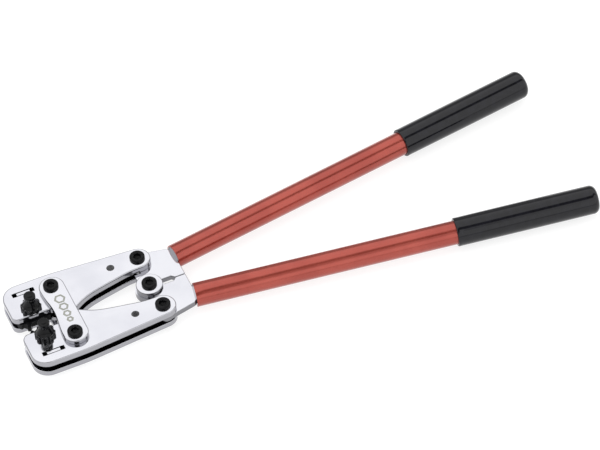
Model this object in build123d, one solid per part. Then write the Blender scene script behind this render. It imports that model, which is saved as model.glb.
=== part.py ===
from build123d import *
import math
import os

# Long-handled hexagonal crimping tool, closed. All sizes are in millimetres.
# X runs from the nose of the jaws to the ends of the grips, Y runs across the tool, and Z runs
# up from the lowest nuts to the die knobs. The tool is the same either side of Y = 0.

# Overall layout
TOTAL_LENGTH = 640.0
NOSE_TO_LINK = 53.2
LINK_X = -TOTAL_LENGTH / 2 + NOSE_TO_LINK
LINK_Y = 36.1
LEVER_BOLT_X = LINK_X + 100.3
LEVER_BOLT_Y = 37.2
CENTRE_X = LINK_X + 99.1
SPACER_PIN_X = LINK_X + 68.7
SPACER_PIN_Y = 36.5
DIE_X = LINK_X - 29.0
DIE_Y = 20.95

# Layers, from the back nuts upwards
LINK_NUT_HEIGHT = 5.0
LINK_THICKNESS = 5.6
LINK_CLEARANCE = 0.2
JAW_THICKNESS = 7.5
JAW_GAP = 7.5
LINK_BACK_Z = LINK_NUT_HEIGHT
JAW_BACK_Z = LINK_BACK_Z + LINK_THICKNESS + LINK_CLEARANCE
GAP_Z = JAW_BACK_Z + JAW_THICKNESS
JAW_FRONT_Z = GAP_Z + JAW_GAP
JAW_TOP_Z = JAW_FRONT_Z + JAW_THICKNESS
LINK_FRONT_Z = JAW_TOP_Z + LINK_CLEARANCE
LINK_TOP_Z = LINK_FRONT_Z + LINK_THICKNESS
MID_Z = GAP_Z + JAW_GAP / 2

# Jaw plates
NOSE_X = LINK_X - NOSE_TO_LINK
JAW_OUTER_Y = 59.5
PARTING_Y = 11.15
NOSE_OUTER_RADIUS = 18.5
NOSE_INNER_RADIUS = 8.2
HEEL_X = LINK_X - 6.0
HEEL_Y = 0.35
HEEL_RADIUS = 5.0
HEEL_CORNER_RADIUS = 2.5
EAR_RADIUS = 14.2
BACK_SLOPE = math.radians(4.8)
BACK_BEND_RUN = 10.0
HEEL_END = (LINK_X + 16.0, 1.95)
INNER_CURVE = [(LINK_X + 29.5, 9.6), (LINK_X + 48.0, 15.2), (LINK_X + 73.5, 20.4)]
JAW_ROUNDING = 1.8
JAW_INNER_ROUNDING = 0.6

# Nose spacer, whose tenons fill the slots in the jaw plates
SPACER_SLOT_Y = 45.7
SLOT_WIDTH = 4.6
SLOT_HALF = 9.6
SLOT_END_RADIUS = 3.0
SPACER_LENGTH = 15.0
SPACER_WIDTH = 5.4
TENON_LENGTH = 15.0
TENON_WIDTH = 3.4
TENON_SINK = 0.3

# Link plates
LINK_END_RADIUS = 13.9
LINK_END_X = 0.7
LINK_END_Y = 35.6
LINK_WAIST_X = -10.2
LINK_ROUNDING = 1.5

# Fasteners
LINK_BOLT_RADIUS = 6.0
LEVER_BOLT_RADIUS = 5.0
CENTRE_BOLT_RADIUS = 6.0
HEAD_RADIUS = 8.4
HEAD_HEIGHT = 3.4
HEAD_ROUNDING = 1.4
SOCKET_ACROSS_FLATS = 8.0
SOCKET_DEPTH = 4.4
NUT_ACROSS_FLATS = 17.0
NUT_HEIGHT = 5.0
NUT_TURN = 12.0
NUT_CORNER_RADIUS = 9.9
NUT_CHAMFER = 1.2
RUNNING_CLEARANCE = 0.05
BUSH_RADIUS = 9.0
SPACER_PIN_RADIUS = 4.4
SPACER_COLLAR_RADIUS = 5.5

# Die wheels: across-flats size of each hexagonal nest, big and small by turns
NEST_SIZES = [16.5, 6.0, 15.0, 8.5, 11.5, 10.0, 13.0, 7.0]
WHEEL_RADIUS = 20.7
WHEEL_THICKNESS = 6.9
WHEEL_ROUNDING = 0.5
AXLE_BACK_RADIUS = 5.0
AXLE_HEX = 9.0
AXLE_HEX_CLEARANCE = 0.1
AXLE_FRONT_RADIUS = 4.0
AXLE_NECK_RADIUS = 3.5
AXLE_TAIL = 2.0
CLIP_RADIUS = 7.2
CLIP_THICKNESS = 1.0
CLIP_GROOVE_RADIUS = 4.2
CLIP_DROP = 0.3
CLIP_MOUTH = 5.0

# Knobs: heights are measured up from the front jaw plate
KNOB_LIFT = 4.0
KNOB_FOOT = 0.3
KNOB_SKIRT_RADIUS = 11.4
KNOB_SKIRT_TOP = 5.6
KNOB_SHOULDER_RADIUS = 10.0
KNOB_NECK_RADIUS = 5.9
KNOB_NECK_START = 14.4
KNOB_CAP_RADIUS = 6.45
KNOB_CAP_START = 16.1
KNOB_TOP = 21.1
KNOB_BORE_RADIUS = 4.9
KNOB_SKIRT_CHAMFER = 0.8
KNOB_SKIRT_SLOPE = 1.0
KNOB_CAP_LEAD = 0.4
KNOB_CAP_CHAMFER = 0.7
KNOB_FLOOR = 7.5
KNOB_ROOF = 19.0
FLUTE_COUNT = 8
FLUTE_RADIUS = 3.2
FLUTE_CENTRE_RADIUS = 12.6
SCREW_HEAD_RADIUS = 4.5
SCREW_HEAD_HEIGHT = 2.1
SCREW_HEAD_START = 16.5
SCREW_RADIUS = 2.0
SCREW_LENGTH = 9.0
SCREW_SLOT_WIDTH = 1.2
SCREW_SLOT_FLOOR = 1.2
SCREW_END_ROOM = 1.0
LOCK_PIN_RADIUS = 1.2
LOCK_CIRCLE_RADIUS = 7.2
LOCK_PIN_DEPTH = 3.2
LOCK_PIN_TOP = 5.0
LOCK_PIN_TURN = math.radians(22.5)
LOCK_PIN_X = DIE_X + LOCK_CIRCLE_RADIUS * math.cos(LOCK_PIN_TURN)
LOCK_PIN_Y = DIE_Y + LOCK_CIRCLE_RADIUS * math.sin(LOCK_PIN_TURN)
LOCK_GROOVE_SIDE_ROOM = 0.3
LOCK_GROOVE_FLOOR_ROOM = 0.5
SPRING_RADIUS = 4.2
SPRING_WIRE_RADIUS = 0.4
SPRING_TURNS = 5
SPRING_END_ROOM = 0.1

# Levers
LEVER_THICKNESS = 7.1
LEVER_EAR_RADIUS = 13.0
LEVER_EAR_HOLE_RADIUS = 8.1
UPPER_EYE_RADIUS = 14.6
LOWER_EYE_RADIUS = 16.2
EYE_TOP = 7.5
EYE_SPLIT = 0.1
EYE_ROOM = 0.8
LEVER_REAR_X = CENTRE_X + 41.5
LEVER_BUTT_X = CENTRE_X + 30.0
BUTT_GAP = 0.15
LEVER_ROUNDING = 1.0
LEVER_CORNERS = [
    (LEVER_BOLT_X, LEVER_BOLT_Y + LEVER_EAR_RADIUS - 0.2),
    (CENTRE_X + 35.5, LEVER_BOLT_Y + 5.4),
    (CENTRE_X + 44.0, 36.0),
    (CENTRE_X + 44.0, 24.0),
    (LEVER_REAR_X, 20.0),
    (LEVER_REAR_X, BUTT_GAP),
    (LEVER_BUTT_X, BUTT_GAP),
    (LEVER_BUTT_X - 3.5, 3.6),
    (CENTRE_X, 3.6),
    (CENTRE_X - 4.0, LEVER_BOLT_Y),
]
LEVER_CORNER_RADII = (8.0, 6.0, 1.0, 1.0, 1.0, 1.0, 1.0, 1.0, 1.0, 1.0)
EYE_NECK_X = CENTRE_X + 2.0
EYE_NECK_Y = 13.0
EYE_NECK_LENGTH = 22.0
EYE_NECK_WIDTH = 16.0

# Handles: distances run along the handle's centre line from its start at the lever
HANDLE_ANGLE = 8.4
HANDLE_START_X = LINK_X + 139.0
HANDLE_START_Y = 30.62
TUBE_RADIUS = 13.25
TUBE_BORE_RADIUS = 11.5
STEM_RADIUS = 11.45
STEM_LENGTH = 48.0
GRIP_RADIUS = 15.9
GRIP_START = 291.1
GRIP_WALL_CLEARANCE = 0.05
GRIP_END_ROUNDING = 7.0
GRIP_MOUTH_ROUNDING = 1.2
GRIP_END_WALL = 4.0


def disc(radius, x, y, low, high):
    """Solid round disc of one radius between two heights."""
    return Pos(x, y, low) * extrude(Circle(radius), high - low)


def hexagon(across_flats, x, y, low, high, turn=0.0):
    """Solid hexagonal prism with two corners along X when turn is 0."""
    corner_radius = across_flats / math.sqrt(3)
    return Pos(x, y, low) * extrude(Rot(0, 0, turn) * RegularPolygon(corner_radius, 6), high - low)


def edges_at(solid, height):
    """Edges that lie wholly at one height."""
    return solid.edges().filter_by_position(Axis.Z, height - 0.001, height + 0.001)


def side_of(solid, lower):
    """The solid as drawn for the upper side, or its mirror image for the lower side."""
    return mirror(solid, about=Plane.XZ) if lower else solid


def jaw_outline():
    """Face of the upper jaw plate: nose, parting edge, heel, curved inner edge, ear and sloping back."""
    ear_bottom = (LEVER_BOLT_X, LEVER_BOLT_Y - EAR_RADIUS)
    ear_side = (LEVER_BOLT_X + EAR_RADIUS, LEVER_BOLT_Y)
    slope = (-math.cos(BACK_SLOPE), math.sin(BACK_SLOPE))
    ear_top = (LEVER_BOLT_X + EAR_RADIUS * slope[1], LEVER_BOLT_Y - EAR_RADIUS * slope[0])
    back_run = (JAW_OUTER_Y - ear_top[1]) / math.tan(BACK_SLOPE)
    back_corner = (ear_top[0] - back_run, JAW_OUTER_Y)
    back_start = (back_corner[0] - slope[0] * BACK_BEND_RUN, back_corner[1] - slope[1] * BACK_BEND_RUN)
    back_end = (back_corner[0] - BACK_BEND_RUN, JAW_OUTER_Y)
    parting = Line((NOSE_X + NOSE_INNER_RADIUS, PARTING_Y), (HEEL_X - HEEL_RADIUS, PARTING_Y))
    heel_bend = RadiusArc((HEEL_X - HEEL_RADIUS, PARTING_Y), (HEEL_X, PARTING_Y - HEEL_RADIUS), HEEL_RADIUS)
    heel = FilletPolyline(
        (HEEL_X, PARTING_Y - HEEL_RADIUS), (HEEL_X, HEEL_Y), HEEL_END, radius=HEEL_CORNER_RADIUS
    )
    inner = Spline(HEEL_END, *INNER_CURVE, ear_bottom, tangents=((1, 0.6), (1, 0)))
    ear = ThreePointArc(ear_bottom, ear_side, ear_top)
    back = Line(ear_top, back_start)
    bend = TangentArc(back_start, back_end, tangent=slope)
    outer = Line(back_end, (NOSE_X + NOSE_OUTER_RADIUS, JAW_OUTER_Y))
    corner = RadiusArc(
        (NOSE_X + NOSE_OUTER_RADIUS, JAW_OUTER_Y), (NOSE_X, JAW_OUTER_Y - NOSE_OUTER_RADIUS), -NOSE_OUTER_RADIUS
    )
    nose = Line((NOSE_X, JAW_OUTER_Y - NOSE_OUTER_RADIUS), (NOSE_X, PARTING_Y + NOSE_INNER_RADIUS))
    nose_corner = RadiusArc(
        (NOSE_X, PARTING_Y + NOSE_INNER_RADIUS), (NOSE_X + NOSE_INNER_RADIUS, PARTING_Y), -NOSE_INNER_RADIUS
    )
    face = make_face([parting, heel_bend, heel, inner, ear, back, bend, outer, corner, nose, nose_corner])
    heel_tip = face.vertices().sort_by_distance(Vector(*HEEL_END))[0]
    return fillet(heel_tip, HEEL_CORNER_RADIUS)


def jaw_slot(low, high):
    """Slot with round ends wider than its middle, where the nose spacer's tenon comes through."""
    middle = Pos(DIE_X, SPACER_SLOT_Y, low) * extrude(Rectangle(2 * SLOT_HALF, SLOT_WIDTH), high - low)
    for end in (-SLOT_HALF, SLOT_HALF):
        middle += disc(SLOT_END_RADIUS, DIE_X + end, SPACER_SLOT_Y, low, high)
    return middle


def jaw_plate(low, outer_face, inner_face, axle_radius):
    """One jaw plate with its outer edge well rounded and its holes cut."""
    high = low + JAW_THICKNESS
    plate = Pos(0, 0, low) * extrude(jaw_outline(), JAW_THICKNESS)
    plate = fillet(edges_at(plate, outer_face), JAW_ROUNDING)
    plate = fillet(edges_at(plate, inner_face), JAW_INNER_ROUNDING)
    plate -= disc(LINK_BOLT_RADIUS + RUNNING_CLEARANCE, LINK_X, LINK_Y, low, high)
    plate -= disc(LEVER_BOLT_RADIUS + RUNNING_CLEARANCE, LEVER_BOLT_X, LEVER_BOLT_Y, low, high)
    plate -= disc(SPACER_PIN_RADIUS, SPACER_PIN_X, SPACER_PIN_Y, low, high)
    plate -= disc(axle_radius + RUNNING_CLEARANCE, DIE_X, DIE_Y, low, high)
    return plate - jaw_slot(low, high)


def jaw_plate_front():
    """Front jaw plate, with the ring groove that the knob's lock pin runs in."""
    plate = jaw_plate(JAW_FRONT_Z, JAW_TOP_Z, JAW_FRONT_Z, AXLE_FRONT_RADIUS)
    reach = LOCK_PIN_RADIUS + LOCK_GROOVE_SIDE_ROOM
    floor = JAW_TOP_Z - LOCK_PIN_DEPTH - LOCK_GROOVE_FLOOR_ROOM
    groove = disc(LOCK_CIRCLE_RADIUS + reach, DIE_X, DIE_Y, floor, JAW_TOP_Z)
    groove -= disc(LOCK_CIRCLE_RADIUS - reach, DIE_X, DIE_Y, floor, JAW_TOP_Z)
    return plate - groove


def jaw_plate_back():
    """Back jaw plate."""
    return jaw_plate(JAW_BACK_Z, JAW_BACK_Z, GAP_Z, AXLE_BACK_RADIUS)


def nose_spacer():
    """Block that holds the plates apart at the nose, with a tenon through each plate."""
    block = Pos(DIE_X, SPACER_SLOT_Y, GAP_Z) * extrude(Rectangle(SPACER_LENGTH, SPACER_WIDTH), JAW_GAP)
    low = JAW_BACK_Z + TENON_SINK
    tenon = extrude(Rectangle(TENON_LENGTH, TENON_WIDTH), JAW_TOP_Z - TENON_SINK - low)
    return block + Pos(DIE_X, SPACER_SLOT_Y, low) * tenon


def spacer_pin():
    """Shouldered pin, riveted flush in both jaw plates."""
    pin = disc(SPACER_PIN_RADIUS, SPACER_PIN_X, SPACER_PIN_Y, JAW_BACK_Z, JAW_TOP_Z)
    return pin + disc(SPACER_COLLAR_RADIUS, SPACER_PIN_X, SPACER_PIN_Y, GAP_Z, JAW_FRONT_Z)


def pivot_bush():
    """Bush between the jaw plates that turns on the link bolt."""
    bush = disc(BUSH_RADIUS, LINK_X, LINK_Y, GAP_Z, JAW_FRONT_Z)
    return bush - disc(LINK_BOLT_RADIUS + RUNNING_CLEARANCE, LINK_X, LINK_Y, GAP_Z, JAW_FRONT_Z)


def bolt(x, y, shank_radius, low, seat):
    """Low-headed socket bolt whose shank runs from low up to the seat of its head."""
    top = seat + HEAD_HEIGHT
    head = disc(HEAD_RADIUS, x, y, seat, top)
    head = fillet(edges_at(head, top), HEAD_ROUNDING)
    body = head + disc(shank_radius, x, y, low, seat)
    return body - hexagon(SOCKET_ACROSS_FLATS, x, y, top - SOCKET_DEPTH, top)


def nut(x, y, shank_radius, low):
    """Plain hexagonal nut, its corners turned off on the outside."""
    body = hexagon(NUT_ACROSS_FLATS, x, y, low, low + NUT_HEIGHT, NUT_TURN)
    turned = disc(NUT_CORNER_RADIUS, x, y, low, low + NUT_HEIGHT)
    turned = chamfer(edges_at(turned, low), NUT_CHAMFER)
    return (body & turned) - disc(shank_radius, x, y, low, low + NUT_HEIGHT)


def link_plate(low, outer_face, inner_face):
    """Link plate joining the jaws, straight at the back and waisted towards the dies."""
    centre_x = LINK_X + LINK_END_X
    left = centre_x - LINK_END_RADIUS
    right = centre_x + LINK_END_RADIUS
    straight = Line((right, -LINK_END_Y), (right, LINK_END_Y))
    top = ThreePointArc((right, LINK_END_Y), (centre_x, LINK_END_Y + LINK_END_RADIUS), (left, LINK_END_Y))
    waist = Spline(
        (left, LINK_END_Y), (LINK_X + LINK_WAIST_X, 0), (left, -LINK_END_Y), tangents=((0, -1), (0, -1))
    )
    bottom = ThreePointArc((left, -LINK_END_Y), (centre_x, -LINK_END_Y - LINK_END_RADIUS), (right, -LINK_END_Y))
    plate = Pos(0, 0, low) * extrude(make_face([straight, top, waist, bottom]), LINK_THICKNESS)
    plate = fillet(edges_at(plate, outer_face), LINK_ROUNDING)
    plate = fillet(edges_at(plate, inner_face), JAW_INNER_ROUNDING)
    for y in (-LINK_Y, LINK_Y):
        plate -= disc(LINK_BOLT_RADIUS, LINK_X, y, low, low + LINK_THICKNESS)
    return plate


def die_wheel():
    """Round die wheel with a half-hexagon nest for each cable size, the largest in use."""
    low = MID_Z - WHEEL_THICKNESS / 2
    high = MID_Z + WHEEL_THICKNESS / 2
    wheel = disc(WHEEL_RADIUS, DIE_X, DIE_Y, low, high)
    wheel = fillet(edges_at(wheel, low) + edges_at(wheel, high), WHEEL_ROUNDING)
    for step, size in enumerate(NEST_SIZES):
        turn = 360 / len(NEST_SIZES) * step
        angle = math.radians(turn - 90)
        x = DIE_X + DIE_Y * math.cos(angle)
        y = DIE_Y + DIE_Y * math.sin(angle)
        wheel -= hexagon(size, x, y, low, high, turn)
    return wheel - hexagon(AXLE_HEX + AXLE_HEX_CLEARANCE, DIE_X, DIE_Y, low, high)


def die_axle():
    """Stepped axle: back journal, hexagonal drive in the wheel, front journal and knob stem."""
    tail = JAW_BACK_Z - AXLE_TAIL
    neck_top = JAW_TOP_Z + SCREW_HEAD_START
    axle = disc(AXLE_BACK_RADIUS, DIE_X, DIE_Y, tail, GAP_Z)
    axle += hexagon(AXLE_HEX, DIE_X, DIE_Y, GAP_Z, JAW_FRONT_Z)
    axle += disc(AXLE_FRONT_RADIUS, DIE_X, DIE_Y, JAW_FRONT_Z, JAW_TOP_Z)
    axle += disc(AXLE_NECK_RADIUS, DIE_X, DIE_Y, JAW_TOP_Z, neck_top)
    groove = disc(AXLE_BACK_RADIUS, DIE_X, DIE_Y, *clip_span())
    axle -= groove - disc(CLIP_GROOVE_RADIUS, DIE_X, DIE_Y, *clip_span())
    return axle - disc(SCREW_RADIUS, DIE_X, DIE_Y, neck_top - SCREW_LENGTH, neck_top)


def clip_span():
    """Lowest and highest points of the retaining clip on the axle's tail."""
    high = JAW_BACK_Z - CLIP_DROP
    return high - CLIP_THICKNESS, high


def axle_clip():
    """Retaining clip: a ring open on one side, sprung into the axle's groove."""
    ring = disc(CLIP_RADIUS, DIE_X, DIE_Y, *clip_span()) - disc(CLIP_GROOVE_RADIUS, DIE_X, DIE_Y, *clip_span())
    low, high = clip_span()
    mouth = Pos(DIE_X - CLIP_RADIUS, DIE_Y, low) * extrude(Rectangle(2 * CLIP_RADIUS, CLIP_MOUTH), high - low)
    return ring - mouth


def knob_screw():
    """Cheese-headed screw in the end of the axle, which holds the knob's spring down."""
    seat = JAW_TOP_Z + SCREW_HEAD_START
    head = disc(SCREW_HEAD_RADIUS, DIE_X, DIE_Y, seat, seat + SCREW_HEAD_HEIGHT)
    slot = Rectangle(2 * SCREW_HEAD_RADIUS, SCREW_SLOT_WIDTH)
    slot = Pos(DIE_X, DIE_Y, seat + SCREW_SLOT_FLOOR) * extrude(slot, SCREW_HEAD_HEIGHT)
    return head - slot + disc(SCREW_RADIUS, DIE_X, DIE_Y, seat - SCREW_LENGTH + SCREW_END_ROOM, seat)


def knob():
    """Pull-and-turn knob: fluted skirt, tapering neck and flat cap over a bored centre."""
    profile = Polyline(
        (0, KNOB_FOOT),
        (KNOB_SKIRT_RADIUS - KNOB_SKIRT_CHAMFER, KNOB_FOOT),
        (KNOB_SKIRT_RADIUS, KNOB_FOOT + KNOB_SKIRT_CHAMFER),
        (KNOB_SKIRT_RADIUS, KNOB_SKIRT_TOP - KNOB_SKIRT_SLOPE),
        (KNOB_SHOULDER_RADIUS, KNOB_SKIRT_TOP),
        (KNOB_NECK_RADIUS, KNOB_NECK_START),
        (KNOB_NECK_RADIUS, KNOB_CAP_START),
        (KNOB_CAP_RADIUS, KNOB_CAP_START + KNOB_CAP_LEAD),
        (KNOB_CAP_RADIUS, KNOB_TOP - KNOB_CAP_CHAMFER),
        (KNOB_CAP_RADIUS - KNOB_CAP_CHAMFER, KNOB_TOP),
        (0, KNOB_TOP),
        close=True,
    )
    turned = revolve(Plane.XZ * make_face(profile), Axis.Z)
    body = Pos(DIE_X, DIE_Y, JAW_TOP_Z) * turned
    for step in range(FLUTE_COUNT):
        angle = math.radians(360 / FLUTE_COUNT * step)
        x = DIE_X + FLUTE_CENTRE_RADIUS * math.cos(angle)
        y = DIE_Y + FLUTE_CENTRE_RADIUS * math.sin(angle)
        body -= disc(FLUTE_RADIUS, x, y, JAW_TOP_Z, JAW_TOP_Z + KNOB_NECK_START)
    body -= disc(KNOB_BORE_RADIUS, DIE_X, DIE_Y, JAW_TOP_Z + KNOB_FLOOR, JAW_TOP_Z + KNOB_ROOF)
    body -= disc(AXLE_NECK_RADIUS + RUNNING_CLEARANCE, DIE_X, DIE_Y, JAW_TOP_Z, JAW_TOP_Z + KNOB_FLOOR)
    return body - disc(LOCK_PIN_RADIUS, LOCK_PIN_X, LOCK_PIN_Y, JAW_TOP_Z, JAW_TOP_Z + LOCK_PIN_TOP)


def lock_pin():
    """Pin under the knob that runs in the ring groove of the jaw plate."""
    return disc(LOCK_PIN_RADIUS, LOCK_PIN_X, LOCK_PIN_Y, JAW_TOP_Z - LOCK_PIN_DEPTH, JAW_TOP_Z + LOCK_PIN_TOP)


def knob_spring():
    """Compression spring between the knob's floor and the screw head."""
    low = JAW_TOP_Z + KNOB_FLOOR + SPRING_WIRE_RADIUS
    height = SCREW_HEAD_START - KNOB_FLOOR - 2 * SPRING_WIRE_RADIUS - SPRING_END_ROOM
    path = Helix(height / SPRING_TURNS, height, SPRING_RADIUS)
    section = Plane(origin=path @ 0, z_dir=path % 0) * Circle(SPRING_WIRE_RADIUS)
    return Pos(DIE_X, DIE_Y, low) * sweep(section, path=path)


def lever_arm():
    """Face of the lever between its ear, its butt face and the handle, without the centre eye."""
    corners = FilletPolyline(*LEVER_CORNERS, radius=LEVER_CORNER_RADII, close=True)
    return make_face(corners)


def lever(own_eye_radius, other_eye_radius):
    """Lever plate with a stepped eye at the centre and a round stem for its tube, drawn eye upwards."""
    low = MID_Z - LEVER_THICKNESS / 2
    web = MID_Z + EYE_SPLIT
    high = low + LEVER_THICKNESS
    plate = Pos(0, 0, low) * extrude(lever_arm(), LEVER_THICKNESS)
    plate = fillet(edges_at(plate, low) + edges_at(plate, high), LEVER_ROUNDING)
    plate += disc(LEVER_EAR_RADIUS, LEVER_BOLT_X, LEVER_BOLT_Y, low, high)
    plate -= disc(other_eye_radius + EYE_ROOM, CENTRE_X, 0, low, web)
    eye = disc(own_eye_radius, CENTRE_X, 0, web, MID_Z + EYE_TOP)
    eye = fillet(edges_at(eye, MID_Z + EYE_TOP), LEVER_ROUNDING)
    neck = Pos(EYE_NECK_X, EYE_NECK_Y, web) * extrude(Rectangle(EYE_NECK_LENGTH, EYE_NECK_WIDTH), high - web)
    plate += eye + neck
    plate += Pos(0, 0, MID_Z) * handle_bar(STEM_RADIUS, 0, STEM_LENGTH)
    plate -= disc(CENTRE_BOLT_RADIUS + RUNNING_CLEARANCE, CENTRE_X, 0, web, MID_Z + EYE_TOP)
    return plate - disc(LEVER_EAR_HOLE_RADIUS, LEVER_BOLT_X, LEVER_BOLT_Y, low, high)


def handle_bar(radius, start, end):
    """Solid bar of one radius along the handle's centre line, at Z = 0."""
    direction = Vector(math.cos(math.radians(HANDLE_ANGLE)), math.sin(math.radians(HANDLE_ANGLE)), 0)
    origin = Vector(HANDLE_START_X, HANDLE_START_Y, 0) + direction * start
    return extrude(Plane(origin=origin, z_dir=direction) * Circle(radius), end - start)


def grip_end():
    """Distance along the handle at which the grip's rounded end reaches the tool's full length."""
    tilt = math.radians(HANDLE_ANGLE)
    overhang = (GRIP_RADIUS - GRIP_END_ROUNDING) * math.sin(tilt) + GRIP_END_ROUNDING * (1 - math.cos(tilt))
    return (TOTAL_LENGTH / 2 - overhang - HANDLE_START_X) / math.cos(tilt)


def tube():
    """Handle tube, from the lever to just inside the grip's closed end."""
    end = grip_end() - GRIP_END_WALL
    solid = handle_bar(TUBE_RADIUS, 0, end) - handle_bar(TUBE_BORE_RADIUS, 0, end)
    return Pos(0, 0, MID_Z) * solid


def grip():
    """Closed grip sleeve over the end of the tube."""
    end = grip_end()
    sleeve = handle_bar(GRIP_RADIUS, GRIP_START, end)
    rims = sleeve.edges().filter_by(GeomType.CIRCLE).sort_by(Axis.X)
    sleeve = fillet(rims[-1], GRIP_END_ROUNDING)
    mouth = sleeve.edges().filter_by(GeomType.CIRCLE).sort_by(Axis.X)[0]
    sleeve = fillet(mouth, GRIP_MOUTH_ROUNDING)
    sleeve -= handle_bar(TUBE_RADIUS + GRIP_WALL_CLEARANCE, GRIP_START, end - GRIP_END_WALL)
    return Pos(0, 0, MID_Z) * sleeve


def save(solid, node):
    """Write one node's STEP file."""
    export_step(solid, os.path.join("parts", node + ".step"))


def link_parts():
    """Nodes of the link that the jaws hang on."""
    bolts = [bolt(LINK_X, y, LINK_BOLT_RADIUS, 0, LINK_TOP_Z) for y in (-LINK_Y, LINK_Y)]
    nuts = [nut(LINK_X, y, LINK_BOLT_RADIUS, 0) for y in (-LINK_Y, LINK_Y)]
    return {
        "link_plate_front": link_plate(LINK_FRONT_Z, LINK_TOP_Z, LINK_FRONT_Z),
        "link_plate_back": link_plate(LINK_BACK_Z, LINK_BACK_Z, LINK_BACK_Z + LINK_THICKNESS),
        "link_bolts": Compound(children=bolts),
        "link_nuts": Compound(children=nuts),
    }


def centre_parts():
    """Nodes of the centre pivot that both levers turn on."""
    low_face = MID_Z - EYE_TOP
    return {
        "centre_bolt": bolt(CENTRE_X, 0, CENTRE_BOLT_RADIUS, low_face - NUT_HEIGHT, MID_Z + EYE_TOP),
        "centre_nut": nut(CENTRE_X, 0, CENTRE_BOLT_RADIUS, low_face - NUT_HEIGHT),
    }


def jaw_parts():
    """Nodes of one jaw with its die, drawn for the upper side."""
    nut_low = JAW_BACK_Z - NUT_HEIGHT
    return {
        "jaw_plate_front": jaw_plate_front(),
        "jaw_plate_back": jaw_plate_back(),
        "nose_spacer": nose_spacer(),
        "spacer_pin": spacer_pin(),
        "pivot_bush": pivot_bush(),
        "lever_bolt": bolt(LEVER_BOLT_X, LEVER_BOLT_Y, LEVER_BOLT_RADIUS, nut_low, JAW_TOP_Z),
        "lever_nut": nut(LEVER_BOLT_X, LEVER_BOLT_Y, LEVER_BOLT_RADIUS, nut_low),
        "die_wheel": die_wheel(),
        "die_axle": die_axle(),
        "axle_clip": axle_clip(),
        "knob_screw": knob_screw(),
        "knob": knob(),
        "lock_pin": lock_pin(),
        "knob_spring": knob_spring(),
    }


def main():
    """Write every node of the tool."""
    os.makedirs("parts", exist_ok=True)
    for node, solid in {**link_parts(), **centre_parts()}.items():
        save(solid, node)
    one_jaw = jaw_parts()
    upper_lever = lever(UPPER_EYE_RADIUS, LOWER_EYE_RADIUS)
    turned_over = Pos(0, 0, MID_Z) * Rot(180, 0, 0) * Pos(0, 0, -MID_Z)
    lower_lever = turned_over * lever(LOWER_EYE_RADIUS, UPPER_EYE_RADIUS)
    save(upper_lever, "upper_lever")
    save(lower_lever, "lower_lever")
    for side, lower in (("upper", False), ("lower", True)):
        for node, solid in one_jaw.items():
            save(side_of(solid, lower), f"{side}_{node}")
        save(side_of(tube(), lower), f"{side}_tube")
        save(side_of(grip(), lower), f"{side}_grip")


main()
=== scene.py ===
"""Looks of a long-handled hexagonal crimping tool, lying closed on a pale floor."""

import logging
import math
from dataclasses import dataclass
from enum import Enum

import bmesh
import bpy
import numpy as np
from mathutils import Matrix, Vector


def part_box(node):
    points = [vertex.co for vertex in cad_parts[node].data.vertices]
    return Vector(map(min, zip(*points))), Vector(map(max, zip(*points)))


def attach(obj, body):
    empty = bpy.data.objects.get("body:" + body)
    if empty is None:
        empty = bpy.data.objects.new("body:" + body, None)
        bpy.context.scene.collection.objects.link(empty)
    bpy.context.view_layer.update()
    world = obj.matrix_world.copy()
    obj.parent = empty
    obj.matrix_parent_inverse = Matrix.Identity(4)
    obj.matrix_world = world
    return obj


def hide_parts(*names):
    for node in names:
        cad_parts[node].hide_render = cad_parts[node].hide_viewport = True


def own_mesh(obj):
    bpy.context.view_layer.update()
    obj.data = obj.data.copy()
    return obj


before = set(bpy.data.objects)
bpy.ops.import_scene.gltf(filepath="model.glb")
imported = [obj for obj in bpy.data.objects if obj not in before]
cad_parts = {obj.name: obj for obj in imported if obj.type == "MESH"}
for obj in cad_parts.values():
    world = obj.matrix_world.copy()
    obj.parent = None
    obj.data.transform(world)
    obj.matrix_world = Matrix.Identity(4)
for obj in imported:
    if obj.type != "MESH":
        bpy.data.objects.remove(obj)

log = logging.getLogger("crimping_tool")

Pair = tuple[float, float]
Triple = tuple[float, float, float]
Socket = bpy.types.NodeSocket

MM = 0.001
UP = Vector((0.0, 0.0, 1.0))
WHITE = (1.0, 1.0, 1.0, 1.0)

# Cosines between the rounded and the true normal where an edge starts to wear and where it is fully worn.
EDGE_WEAR = (0.998, 0.90)
# Noise levels between which the wear breaks up.
WEAR_PATCHES = (0.36, 0.58)
# Edges bent more than this stay sharp.
SHARP_ANGLE = math.radians(34.0)
# Points closer than this are one, and edges shorter than a tenth of it are none.
MERGE_DISTANCE = 1e-7


class Side(Enum):
    """The two mirrored halves of the tool."""

    UPPER = "upper"
    LOWER = "lower"

    def node(self, part: str) -> str:
        """Name of this side's CAD node or body for one part."""
        return f"{self.value}_{part}"


class Slot(Enum):
    """Material slots of the record."""

    CHROME = "chrome_plate"
    OXIDE = "black_oxide"
    STEEL = "tool_steel"
    SPRING = "spring_steel"
    LACQUER = "red_lacquer"
    GRIP = "black_grip"


# ---- node graphs


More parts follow.
